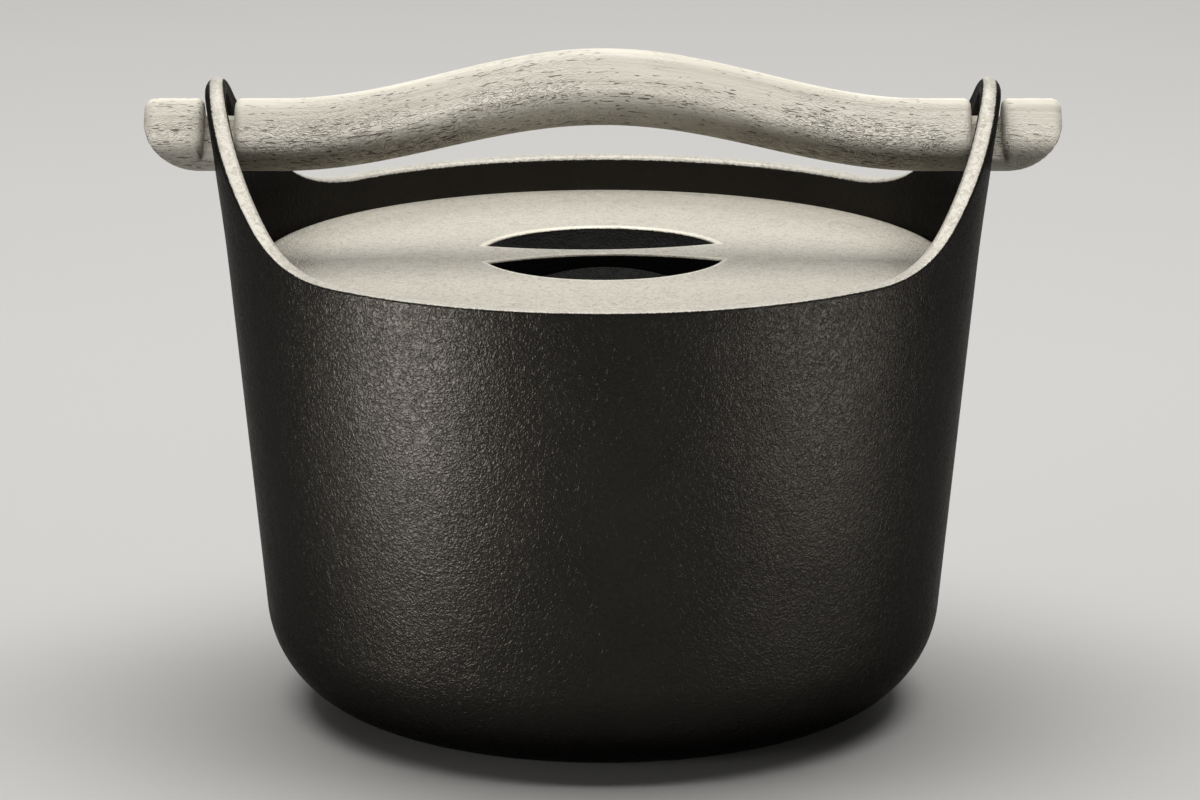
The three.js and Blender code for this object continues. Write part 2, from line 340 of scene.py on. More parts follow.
def ear_share(rim):
    """How far up an ear a height of the rim is, from 0 at the level rim to 1 at the top."""
    return (rim - RIM_HEIGHT) / (EAR_TOP - RIM_HEIGHT)


def outside_radius(angle, height):
    """Radius of the pot's outside at a direction and a height, with the swell of the ears."""
    rim = rim_height_towards(angle)
    share = np.clip((height - LID_EDGE) / (rim - LID_EDGE), 0, 1)
    return outer_radius(height) + EAR_SWELL * ear_share(rim) * share**2 * (3 - 2 * share)


def bar_section(grow=0.0, lowered=0.0, points_per_arc=40):
    """The handle's section as Y and Z: one curve on top, one at each side, straight between them."""
    top = HANDLE_BOTTOM + HANDLE_HEIGHT - HANDLE_TOP_RADIUS - lowered
    side = HANDLE_BOTTOM + HANDLE_SIDE_RADIUS - lowered
    fall = top - side
    lean = math.asin((HANDLE_TOP_RADIUS - HANDLE_SIDE_RADIUS) / math.hypot(HANDLE_SIDE_SPAN, fall))
    flank = math.atan2(HANDLE_SIDE_SPAN, fall) + lean
    right = np.linspace(-math.pi / 2, flank, points_per_arc)
    over = np.linspace(flank, math.pi - flank, points_per_arc)
    left = np.linspace(math.pi - flank, 1.5 * math.pi, points_per_arc)
    side_radius = HANDLE_SIDE_RADIUS + grow
    top_radius = HANDLE_TOP_RADIUS + grow
    right_y = HANDLE_SIDE_SPAN + side_radius * np.cos(right)
    left_y = -HANDLE_SIDE_SPAN + side_radius * np.cos(left)
    y = np.concatenate([right_y, top_radius * np.cos(over), left_y])
    right_z = side + side_radius * np.sin(right)
    left_z = side + side_radius * np.sin(left)
    z = np.concatenate([right_z, top + top_radius * np.sin(over), left_z])
    return y, z


def reach(outline, centre, angle, points_between=24):
    """Distance from a centre on the middle plane to an outline around it, in given directions."""
    y, z = outline
    # Extra points on the straight stretches keep the distances true there
    y = np.append(y, y[0])
    z = np.append(z, z[0])
    share = np.linspace(0, len(y) - 1, points_between * len(y))
    y = np.interp(share, np.arange(len(y)), y)
    z = np.interp(share, np.arange(len(z)), z)
    around = np.arctan2(z - centre, y)
    order = np.argsort(around)
    return np.interp(angle, around[order], np.hypot(y, z - centre)[order], period=2 * math.pi)


def pot_rows():
    """Rows of radius, height and shade, from the middle of the base, over the rim, to the middle of the
    floor. The marks are the rows at which the wall meets the rim's round-overs."""
    angle = np.arange(POT_COLUMNS) * 2 * math.pi / POT_COLUMNS
    rim = rim_height_towards(angle)
    ear = ear_share(rim)
    outer_round = RIM_OUTER_ROUND + EAR_OUTER_EXTRA * ear**3
    inner_round = RIM_INNER_ROUND + EAR_INNER_EXTRA * ear**3
    taper = math.atan(WALL_TAPER)
    fillet_centre = outer_radius(BASE_FILLET) - BASE_FILLET / math.cos(taper)
    level = np.ones(POT_COLUMNS)
    rows = []
    marks = {}

    def put(radius, height, shade=0.0):
        rows.append((radius * level, height * level, shade))

    # Outside: base, fillet, wall
    for share in steps(0, 1, FLOOR_ROWS):
        put(share * fillet_centre, 0.0)
    for turn in steps(-math.pi / 2, -taper, FILLET_ROWS):
        put(fillet_centre + BASE_FILLET * math.cos(turn), BASE_FILLET * (1 + math.sin(turn)))
    wall_start = BASE_FILLET * (1 - math.sin(taper))
    wall_end = LEDGE_HEIGHT - 2 * RIM_WALL
    for height in steps(wall_start, wall_end, WALL_ROWS):
        put(outer_radius(height), height)
    for share in steps(0, 1, UPPER_ROWS):
        height = wall_end + share * (rim - outer_round - wall_end)
        put(outside_radius(angle, height), height)
    marks["outside_top"] = len(rows) - 1

    # Over the rim. The pale iron is a painted sheen where the rim looks up. It fades to dark, a painted
    # shade, down the round-overs, and reaches less far down the ears than down the level rim
    for turn in steps(0, math.pi / 2, RIM_OUTER_ROWS):
        height = rim - outer_round * (1 - math.sin(turn))
        inset = outer_round * (1 - math.cos(turn))
        shade = math.sin(turn) ** (RIM_OUTER_FADE + EAR_OUTER_FADE * ear)
        put(outside_radius(angle, height) - inset, height, shade)
    for share in steps(0, 1, RIM_TOP_ROWS):
        inset = outer_round + share * (RIM_WALL + EAR_SWELL * ear - outer_round - inner_round)
        put(outside_radius(angle, rim) - inset, rim, 1.0)
    for turn in steps(math.pi / 2, 0, RIM_INNER_ROWS):
        height = rim - inner_round * (1 - math.sin(turn))
        inset = RIM_WALL - inner_round * (1 - math.cos(turn))
        shade = math.sin(turn) ** (RIM_INNER_FADE + EAR_INNER_FADE * ear)
        put(outer_radius(height) - inset, height, shade)
    marks["inside_top"] = len(rows) - 1

    # Inside, down to the ledge and round both of its corners
    corner_top = LEDGE_HEIGHT + LEDGE_ROUND
    for share in steps(1, 0, UPPER_ROWS):
        height = corner_top + share * (rim - inner_round - corner_top)
        put(outer_radius(height) - RIM_WALL, height)
    corner = outer_radius(LEDGE_HEIGHT) - RIM_WALL
    for turn in steps(0, math.pi / 2, LEDGE_ROWS):
        height = LEDGE_HEIGHT + LEDGE_ROUND * (1 - math.sin(turn))
        put(corner - LEDGE_ROUND * (1 - math.cos(turn)), height)
    put(LEDGE_RADIUS + LEDGE_ROUND, LEDGE_HEIGHT)
    for turn in steps(math.pi / 2, math.pi, LEDGE_ROWS):
        height = LEDGE_HEIGHT - LEDGE_ROUND * (1 - math.sin(turn))
        put(LEDGE_RADIUS + LEDGE_ROUND * (1 + math.cos(turn)), height)

    # The inside wall runs straight from the ledge to the inside fillet, and touches it smoothly
    inside_fillet = BASE_FILLET - BASE_WALL
    wall_top = LEDGE_HEIGHT - LEDGE_ROUND
    across, up = LEDGE_RADIUS - fillet_centre, wall_top - BASE_FILLET
    touch = math.atan2(up, across) - math.acos(inside_fillet / math.hypot(across, up))
    touch_radius = fillet_centre + inside_fillet * math.cos(touch)
    touch_height = BASE_FILLET + inside_fillet * math.sin(touch)
    for share in steps(0, 1, WALL_ROWS):
        radius = LEDGE_RADIUS + share * (touch_radius - LEDGE_RADIUS)
        put(radius, wall_top + share * (touch_height - wall_top))
    for turn in steps(touch, -math.pi / 2, INSIDE_FILLET_ROWS):
        put(fillet_centre + inside_fillet * math.cos(turn), BASE_FILLET + inside_fillet * math.sin(turn))
    for share in steps(1, 0, FLOOR_ROWS)[:-1]:
        put(share * fillet_centre, BASE_WALL)
    return angle, rows, marks


def ear_patch(surface, loop, side, inset, inward):
    """Skin between a loop of the wall's points and the handle's hole, with the hole's rounded lip.
    Returns the last ring of the lip, inside the hole."""
    points = surface.at(loop)
    centre = (HOLE_TOP + HOLE_BOTTOM) / 2 - HOLE_CENTRE_DROP
    across, up = points[:, 1], points[:, 2] - centre
    angle = np.arctan2(up, across)
    clearance_shift = HANDLE_BOTTOM - HANDLE_CLEARANCE - HOLE_BOTTOM

    def ring(grow, depth, blend):
        outline_y, outline_z = bar_section(HANDLE_CLEARANCE + grow)
        distance = reach((outline_y, outline_z - clearance_shift), centre, angle)
        y = (1 - blend) * distance * np.cos(angle) + blend * across
        z = centre + (1 - blend) * distance * np.sin(angle) + blend * up
        if inset:
            radius = outer_radius(z) - inset
        else:
            radius = outside_radius(np.arcsin(y / outer_radius(z)), z)
        x = np.sqrt(radius**2 - y**2) + inward * depth
        return surface.add(side * x, y, z)

    rows = [loop]
    for blend in steps(1, 0, HOLE_ROWS):
        rows.append(ring(HOLE_LIP, 0.0, blend))
    for turn in steps(0, math.pi / 2, HOLE_ROWS):
        rows.append(ring(HOLE_LIP * (1 - math.sin(turn)), HOLE_LIP * (1 - math.cos(turn)), 0.0))
    surface.strips(rows)
    return rows[-1]


def make_pot(material):
    """The pot in one casting: a wall turned about the axis, with a hole through each ear."""
    surface = Surface()
    angle, rows, marks = pot_rows()
    numbers = []
    for radius, height, shade in rows:
        numbers.append(surface.add(radius * np.cos(angle), radius * np.sin(angle), height, shade))
    grid = np.array(numbers)

    # The cells round each ear's hole are left out of the grid, outside and inside
    half = POT_COLUMNS // 2
    left_out = set()
    blocks = {
        "outside": (marks["outside_top"] - EAR_ROWS, marks["outside_top"]),
        "inside": (marks["inside_top"], marks["inside_top"] + EAR_ROWS),
    }
    for low, high in blocks.values():
        for row in range(low, high):
            for step in range(-EAR_COLUMNS, EAR_COLUMNS):
                left_out.add((row, step % POT_COLUMNS))
                left_out.add((row, (half + step) % POT_COLUMNS))
    for row in range(len(grid) - 1):
        for column in range(POT_COLUMNS):
            if (row, column) not in left_out:
                after = (column + 1) % POT_COLUMNS
                low_side = [grid[row][column], grid[row][after]]
                high_side = [grid[row + 1][after], grid[row + 1][column]]
                surface.faces.append([int(corner) for corner in low_side + high_side])
    surface.fan(grid[0], surface.add(0.0, 0.0, 0.0))
    surface.fan(grid[-1], surface.add(0.0, 0.0, BASE_WALL))

    for middle, side in ((0, 1), (half, -1)):
        columns = (middle + np.arange(-EAR_COLUMNS, EAR_COLUMNS + 1)) % POT_COLUMNS
        ends = []
        for name, inset, inward in (("outside", 0.0, -1), ("inside", RIM_WALL, 1)):
            low, high = blocks[name]
            top_row, bottom_row = (high, low) if name == "outside" else (low, high)
            down = -1 if name == "outside" else 1
            between = np.arange(top_row + down, bottom_row, down)
            top = grid[top_row][columns]
            far = grid[between, columns[-1]]
            bottom = grid[bottom_row][columns[::-1]]
            near = grid[between[::-1], columns[0]]
            loop = np.concatenate([top, far, bottom, near])
            ends.append(ear_patch(surface, loop, side, inset, inward))
        surface.strip(ends[0], ends[1])
    return surface.piece("pot_casting", material)


# Shapes of the lid


def dome(x, y):
    """Height of the lid's top."""
    return LID_TOP - LID_DOME * (x**2 + y**2) / (LID_RADIUS - LID_EDGE_RADIUS) ** 2


def slot_outline(outer, bridge, side):
    """A slot seen from above: an arc about the lid's axis, then the bridge's side, from tip to tip."""
    centre = BRIDGE_WIDTH / 2 + BRIDGE_WAIST
    tip_y = (centre**2 + outer**2 - bridge**2) / (2 * centre)
    tip_x = math.sqrt(outer**2 - tip_y**2)
    wide = math.atan2(tip_x, tip_y)
    far = np.linspace(wide, -wide, LID_HALF_COLUMNS + 1)[:-1]
    narrow = math.asin(tip_x / bridge)
    near = np.linspace(-narrow, narrow, BRIDGE_COLUMNS + 1)[:-1]
    x = np.concatenate([outer * np.sin(far), bridge * np.sin(near)])
    y = np.concatenate([outer * np.cos(far), centre - bridge * np.cos(near)])
    return x, side * y


def pocket_radius_at(height, grow=0.0):
    """Radius of the dished pocket at a height."""
    return math.sqrt((POCKET_SPHERE + grow) ** 2 - (POCKET_CENTRE - height) ** 2)


def bridge_underside(x):
    """Height of the bridge's hollow underside."""
    return LID_TOP - BRIDGE_THICKNESS - BRIDGE_ARCH + np.sqrt(BRIDGE_ARCH**2 - x**2)


def lid_underside(radius):
    """Height of the plate's hollow underside."""
    return LID_TOP - LID_THICKNESS - LID_DOME * (radius / (LEDGE_RADIUS - LID_CLEARANCE)) ** 2


def rows_between(surface, first, last, count, shade, domed=False):
    """Rows of points from one ring to another, both included. Domed ones lie on the lid's top."""
    start, end = surface.at(first), surface.at(last)
    rows = [first]
    for share in steps(0, 1, count)[:-1]:
        x, y, z = ((1 - share) * start + share * end).T
        rows.append(surface.add(x, y, dome(x, y) if domed else z, shade))
    rows.append(last)
    return rows


def make_lid(material):
    """The lid in one casting: a domed plate with two slots, over a closed pocket."""
    surface = Surface()
    columns = 2 * LID_HALF_COLUMNS
    angle = math.pi / 2 - np.arange(columns) * 2 * math.pi / columns
    hub = POCKET_RADIUS + HUB_WALLS * POCKET_WALL
    edge_start = LID_RADIUS - LID_EDGE_RADIUS

    def ring(radius, height, shade):
        return surface.add(radius * np.sin(angle), radius * np.cos(angle), height, shade)

    # The plate outside the slots, from its top, over its edge, to its underside. The top's pale iron is a
    # painted sheen, which fades to dark over the edge
    rings = []
    for radius in np.linspace(hub, edge_start, PLATE_ROWS):
        rings.append(ring(radius, dome(radius, 0), 1.0))
    for turn in steps(math.pi / 2, 0, PLATE_EDGE_ROWS):
        height = LID_EDGE - LID_EDGE_RADIUS * (1 - math.sin(turn))
        rings.append(ring(edge_start + LID_EDGE_RADIUS * math.cos(turn), height, math.sin(turn)))
    rings.append(ring(LID_RADIUS, LID_BOTTOM + LID_FOOT_HEIGHT, 0.0))
    rings.append(ring(LID_RADIUS - LID_FOOT_WIDTH, LID_BOTTOM, 0.0))
    for radius in np.linspace(LEDGE_RADIUS - LID_CLEARANCE, hub, PLATE_UNDER_ROWS):
        rings.append(ring(radius, lid_underside(radius), 0.0))
    surface.strips(rings)

    # The middle of the bridge, above and below
    across = np.linspace(-hub, hub, BRIDGE_COLUMNS + 1)[1:-1]
    hidden = np.clip((np.abs(across) - SLOT_FOOT) / (hub - SLOT_FOOT), 0, 1)
    arch = bridge_underside(np.clip(across, -SLOT_FOOT, SLOT_FOOT))
    bridge_top = surface.add(across, 0.0, dome(across, 0), 1.0)
    bridge_bottom = surface.add(across, 0.0, arch * (1 - hidden) + lid_underside(hub) * hidden, 0.0)

    lip_end = dome(POCKET_RADIUS, 0) - SLOT_ROUND
    lip_radius = POCKET_RADIUS - SLOT_LIP_INSET
    slot_floor = POCKET_CENTRE - math.sqrt(POCKET_SPHERE**2 - SLOT_FOOT**2)
    for side in (1, -1):
        half = side * np.arange(0, LID_HALF_COLUMNS + 1) % columns

        # The top between a slot and its half of the plate, then the slot's rounded lip with a painted
        # highlight
        x, y = slot_outline(POCKET_RADIUS + SLOT_ROUND, BRIDGE_WAIST + SLOT_ROUND, side)
        walls = [surface.add(x, y, dome(x, y), PAINTED_EDGE_HIGHLIGHT)]
        top_border = np.concatenate([rings[0][half], bridge_top])
        surface.strips(rows_between(surface, walls[0], top_border, SLOT_TOP_ROWS, 1.0, domed=True))
        for turn in steps(0, math.pi / 2, SLOT_WALL_ROWS):
            share = 1 - math.sin(turn)
            outer = lip_radius + (POCKET_RADIUS + SLOT_ROUND - lip_radius) * share
            x, y = slot_outline(outer, BRIDGE_WAIST + SLOT_ROUND * share, side)
            height = dome(x, y) - SLOT_ROUND * (1 - math.cos(turn))
            walls.append(surface.add(x, y, height, PAINTED_EDGE_HIGHLIGHT * (1 - math.sin(turn) ** SLOT_FADE)))

        # The walls below: the pocket's round and the side of the bridge
        foot_x, _ = slot_outline(SLOT_FOOT, BRIDGE_WAIST, side)
        on_bridge = np.arange(len(foot_x)) >= LID_HALF_COLUMNS
        floor = np.where(on_bridge, bridge_underside(foot_x), slot_floor)
        for share in steps(0, 1, SLOT_WALL_ROWS):
            level = lip_end + (slot_floor - lip_end) * share
            x, y = slot_outline(pocket_radius_at(level) + SLOT_WALL_INSET, BRIDGE_WAIST, side)
            start = dome(x, y) - SLOT_ROUND
            height = np.where(on_bridge, start + (floor - start) * share, level)
            walls.append(surface.add(x, y, height, 0.0))
        surface.strips(walls)

        # The underside, most of it inside the pocket's shell
        under_border = np.concatenate([rings[-1][half], bridge_bottom])
        surface.strips(rows_between(surface, walls[-1], under_border, SLOT_UNDER_ROWS, 0.0))

    # The pocket's own shell, joined to the plate. Its columns lie between the plate's, so that no edges
    # of the two coincide
    pocket = Surface()
    pocket_angle = angle + POCKET_SHIFT * 2 * math.pi / columns

    def bowl(level, grow):
        radius = pocket_radius_at(level, grow)
        return pocket.add(radius * np.sin(pocket_angle), radius * np.cos(pocket_angle), level)

    shell_bottom = POCKET_BOTTOM - POCKET_WALL
    shell = [bowl(level, 0.0) for level in np.linspace(POCKET_BOTTOM, lip_end, POCKET_ROWS)[1:]]
    for level in np.linspace(LID_TOP - LID_THICKNESS / 2, shell_bottom, POCKET_ROWS)[:-1]:
        shell.append(bowl(level, POCKET_WALL))
    pocket.strips(shell)
    pocket.fan(shell[0], pocket.add(0.0, 0.0, POCKET_BOTTOM))
    pocket.fan(shell[-1], pocket.add(0.0, 0.0, shell_bottom))
    plate = surface.piece("lid_casting", material, LID_TURN)
    return joined(plate, pocket.piece("lid_pocket", material, LID_TURN))


# Shapes of the handle


def arch_share(x):
    """How far up the arch a place along the handle is, from 0 at its ends to 1 at the middle."""
    return np.where(np.abs(x) < ARCH_HALF, (1 + np.cos(math.pi * x / ARCH_HALF)) / 2, 0.0)


def end_underside(x, points=60):
    """Height of the bar's underside before it is arched: level, then up along the bevel of an end."""
    start = np.array([HANDLE_END - END_BEVEL_RUN, HANDLE_BOTTOM])
    bend = np.array([HANDLE_END - END_BEVEL_BEND[0], HANDLE_BOTTOM + END_BEVEL_BEND[1]])
    stop = np.array([HANDLE_END, HANDLE_BOTTOM + HANDLE_HEIGHT - END_FACE])
    share = np.linspace(0, 1, points)[:, None]
    curve = (1 - share) ** 2 * start + 2 * share * (1 - share) * bend + share**2 * stop
    return float(np.interp(abs(x), curve[:, 0], curve[:, 1]))


def section_centre(low):
    """Height from which a section's outline is measured, given the height of its underside."""
    return HANDLE_BOTTOM + SECTION_CENTRE + SECTION_CENTRE_RISE * (low - HANDLE_BOTTOM)


def soft_min(first, second, width):
    """The smaller of two values, with a rounded change from one to the other."""
    blend = np.clip(0.5 + 0.5 * (second - first) / width, 0, 1)
    return second + (first - second) * blend - width * blend * (1 - blend)


def quarter(distance, radius):
    """How far a rounded edge has drawn in at a distance from its end."""
    return radius - math.sqrt(max(radius**2 - (radius - distance) ** 2, 0))


def make_handle(material):
    """The handle: a bar of wood with an arch, a notch near each end, and bevelled ends."""
    surface = Surface()
    angle = np.arange(HANDLE_COLUMNS) * 2 * math.pi / HANDLE_COLUMNS - math.pi / 2

    def ring(x, drawn_in=0.0, notched=0.0, shrink=1.0):
        """One section. A notched ring is the neck at 1, or its rounded shoulder at 0.5."""
        low = end_underside(x)
        centre = section_centre(low)
        full = reach(bar_section(), centre, angle)
        distance = reach(bar_section(-drawn_in), centre, angle) if drawn_in else full
        if notched:
            neck = np.minimum(full, reach(bar_section(0.0, NOTCH_DEPTH), centre, angle))
            distance = neck if notched == 1 else np.maximum(distance, neck)
        if low > HANDLE_BOTTOM:
            # Only directions that point down can meet the bevel
            sine = np.sin(angle)
            to_bevel = low + END_BEVEL_LIFT * drawn_in - centre
            below = np.where(sine < 0, to_bevel / np.minimum(sine, -1 / FAR), FAR)
            distance = soft_min(distance, below, END_BEVEL_SOFT)
        distance = distance * shrink
        y = distance * np.cos(angle)
        z = centre + distance * np.sin(angle)
        share = arch_share(x)
        z = z + share * (ARCH_RISE + HANDLE_SWELL * (z - HANDLE_BOTTOM) / HANDLE_HEIGHT)
        return surface.add(x, y, z, share)

    # One half from the middle to the end, as places with how each is drawn in
    inner = EAR_PLANE - RIM_WALL / 2 - NOTCH_PLAY
    outer = EAR_PLANE + RIM_WALL / 2 + NOTCH_OUTER_PLAY
    half = []
    for x in np.linspace(0, inner - NOTCH_ROUND, HANDLE_ROWS)[1:]:
        half.append((x, 0.0, 0.0, 1.0))
    for share in SHOULDER_SHARES:
        distance = NOTCH_ROUND * share
        half.append((inner - distance, quarter(distance, NOTCH_ROUND), 0.5, 1.0))
    for x in (inner + NOTCH_STEP, EAR_PLANE, outer - NOTCH_STEP):
        half.append((x, 0.0, 1, 1.0))
    for share in (*reversed(SHOULDER_SHARES), 1.0):
        distance = NOTCH_ROUND * share
        half.append((outer + distance, quarter(distance, NOTCH_ROUND), 0.5, 1.0))
    for x in np.linspace(outer + NOTCH_ROUND, HANDLE_END - END_ROUND, END_ROWS)[1:]:
        half.append((x, 0.0, 0.0, 1.0))
    for share in END_SHARES:
        distance = END_ROUND * share
        half.append((HANDLE_END - distance, quarter(distance, END_ROUND), 0.0, 1.0))
    for shrink in END_RINGS:
        half.append((HANDLE_END, END_ROUND, 0.0, shrink))

    places = [(-x, *rest) for x, *rest in reversed(half)] + [(0.0, 0.0, 0.0, 1.0)] + half
    rows = [ring(*place) for place in places]
    surface.strips(rows)
    end_middle = section_centre(end_underside(HANDLE_END))
    surface.fan(rows[0], surface.add(-HANDLE_END, 0.0, end_middle))
    surface.fan(rows[-1], surface.add(HANDLE_END, 0.0, end_middle))
    return surface.piece("handle_bar", material)


# Materials. The scale of a noise is its grains to the metre, and the distance of a bump is in metres


def in_view(tree):
    """1 where the eye or a reflection meets a surface, and 0 where the surface only throws light."""
    rays = tree.nodes.new("ShaderNodeLightPath").outputs
    share = rays["Is Camera Ray"]
    for name in ("Is Glossy Ray", "Is Transmission Ray"):
        node = tree.nodes.new("ShaderNodeMath")
        node.operation = "MAXIMUM"
        tree.links.new(share, node.inputs[0])
        tree.links.new(rays[name], node.inputs[1])
        share = node.outputs["Value"]
    return share


def scaled(colour, share):
    """A colour, darker or paler."""
    return tuple(share * c for c in colour)


class Finish:
    """A material's node tree, with short calls that add and join nodes and return their outputs."""

    def __init__(self, name):
        self.material = bpy.data.materials.new(name)
        self.material.use_nodes = True
        self.tree = self.material.node_tree
        self.shader = self.tree.nodes["Principled BSDF"]
        self.place = self.tree.nodes.new("ShaderNodeTexCoord").outputs["Object"]

    def put(self, socket, value):
        """Joins an output to a socket, or sets the socket to a number or colour."""
        if hasattr(value, "is_output"):
            self.tree.links.new(value, socket)
        else:
            socket.default_value = value

    def vector(self, operation, first, second):
        node = self.tree.nodes.new("ShaderNodeVectorMath")
        node.operation = operation
        self.put(node.inputs[0], first)
        self.put(node.inputs[1], second)
        return node.outputs["Vector"]

    def turned(self, angles):
        """The place on the piece, turned about all three axes."""
        node = self.tree.nodes.new("ShaderNodeVectorRotate")
        node.rotation_type = "EULER_XYZ"
        self.put(node.inputs["Vector"], self.place)
        node.inputs["Rotation"].default_value = angles
        return node.outputs["Vector"]

    def upwards(self, value):
        """A vector of this length along Z."""
        node = self.tree.nodes.new("ShaderNodeCombineXYZ")
        self.put(node.inputs["Z"], value)
        return node.outputs["Vector"]

    def height_of(self, place):
        node = self.tree.nodes.new("ShaderNodeSeparateXYZ")
        self.put(node.inputs["Vector"], place)
        return node.outputs["Z"]

    def noise(self, scale, detail=2.0, rough=0.5, warp=0.0, place=None, output="Fac"):
        """Soft noise. A scale for each axis draws it out along the axis with the smallest."""
        place = place or self.place
        if isinstance(scale, tuple):
            place = self.vector("MULTIPLY", place, scale)
            scale = 1.0
        node = self.tree.nodes.new("ShaderNodeTexNoise")
        self.put(node.inputs["Vector"], place)
        node.inputs["Scale"].default_value = scale
        node.inputs["Detail"].default_value = detail
        node.inputs["Roughness"].default_value = rough
        node.inputs["Distortion"].default_value = warp
        return node.outputs[output]

    def math(self, operation, first, second=0.0):
        node = self.tree.nodes.new("ShaderNodeMath")
        node.operation = operation
        self.put(node.inputs[0], first)
        self.put(node.inputs[1], second)
        return node.outputs["Value"]

    def lines(self, noise, width):
        """1 along winding lines through a noise, and 0 a width to either side of them."""
        away = self.math("ABSOLUTE", self.math("SUBTRACT", noise, 0.5))
        return self.band(away, 0.0, width, 1.0, 0.0)

    def band(self, value, low, high, start=0.0, end=1.0):
        """A smooth change from start to end while a value goes from low to high."""
        node = self.tree.nodes.new("ShaderNodeMapRange")
        node.interpolation_type = "SMOOTHSTEP"
        self.put(node.inputs["Value"], value)
        for name, number in (("From Min", low), ("From Max", high), ("To Min", start), ("To Max", end)):
            node.inputs[name].default_value = number
        return node.outputs["Result"]

    def mix(self, share, first, second):
        """A colour between two."""
        node = self.tree.nodes.new("ShaderNodeMix")
        node.data_type = "RGBA"
        self.put(node.inputs["Factor"], share)
        for socket, value in ((node.inputs[6], first), (node.inputs[7], second)):
            self.put(socket, value if hasattr(value, "is_output") else (*value, 1.0))
        return node.outputs[2]

    def attribute(self, name):
        node = self.tree.nodes.new("ShaderNodeAttribute")
        node.attribute_name = name
        return node.outputs["Fac"]

    def bump(self, height, distance, strength=1.0, normal=None):
        node = self.tree.nodes.new("ShaderNodeBump")
        node.inputs["Strength"].default_value = strength
        node.inputs["Distance"].default_value = distance
        self.put(node.inputs["Height"], height)
        if normal is not None:
            self.put(node.inputs["Normal"], normal)
        return node.outputs["Normal"]

    def finished(self, **sockets):
        """Fills the shader's sockets, with _ for a space in their names, and returns the material."""
        for name, value in sockets.items():
            self.put(self.shader.inputs[name.replace("_", " ")], value)
        return self.material


def iron_finish(name, dark, pale, rough, metal, relief, smooth, edge):
    """Sand-cast iron, dark as cast and pale where its shade says so.

    Pale iron is a painted sheen on faces that look up, and shades past pale paint a highlight on edges.
    Pairs are for the dark and the pale parts. Relief is the depth of the grain on dark iron, smooth the
    share of it left on pale iron, and edge the tint of reflections at a glance.
    """
    finish = Finish(name)
    # Turned, so that no flat or upright face lies along the grid of the noise
    finish.place = finish.turned((0.6, 0.4, 0.9))
    broken = finish.band(finish.noise(1300.0, rough=0.6), 0.3, 0.7, -0.07, 0.07)
    shade = finish.math("ADD", finish.attribute("shade"), broken)
    pale_share = finish.band(shade, 0.35, 0.65)

    # Winding ridges, as the sand leaves them, over a fine pebble and finer grit
    ridge = finish.lines(finish.noise(620.0, detail=1.0, warp=1.0), 0.2)
    pebble = finish.noise(900.0, detail=1.0, rough=0.4, warp=1.6)
    speck = finish.noise(1500.0, rough=0.6)
    height = finish.math("ADD", finish.math("MULTIPLY", ridge, 0.5), pebble)
    height = finish.math("MULTIPLY", height, finish.band(pale_share, 0, 1, 1.0, smooth))
    uneven = finish.bump(finish.noise(120.0), 0.0003, 0.6)
    skin = finish.bump(height, relief, 1.0, uneven)
    normal = finish.bump(speck, 0.00002, 1.0, skin)

    # Dark iron is faintly blotched, thin creases stay darker in pale iron, and the painted highlight on
    # edges is palest
    blotch = finish.noise(55.0, detail=3.0, rough=0.55)
    dark_colour = finish.mix(finish.band(blotch, 0.3, 0.7), scaled(dark, 0.94), scaled(dark, 1.06))
    crease = finish.lines(finish.noise(460.0, detail=1.0, warp=1.0), 0.08)
    crease_colour = (0.78 * pale[0], 0.765 * pale[1], 0.74 * pale[2])
    colour = finish.mix(pale_share, dark_colour, finish.mix(crease, pale, crease_colour))
    colour = finish.mix(finish.band(shade, 1.15, 1.35), colour, scaled(pale, 1.35))

    ridge_gloss = finish.band(ridge, 0, 1, 0.05, -0.05)
    return finish.finished(
        Base_Color=colour,
        Roughness=finish.math("ADD", finish.band(pale_share, 0, 1, *rough), ridge_gloss),
        Metallic=finish.band(pale_share, 0, 1, *metal),
        Normal=normal,
        Specular_Tint=(edge, edge, edge, 1.0),
    )


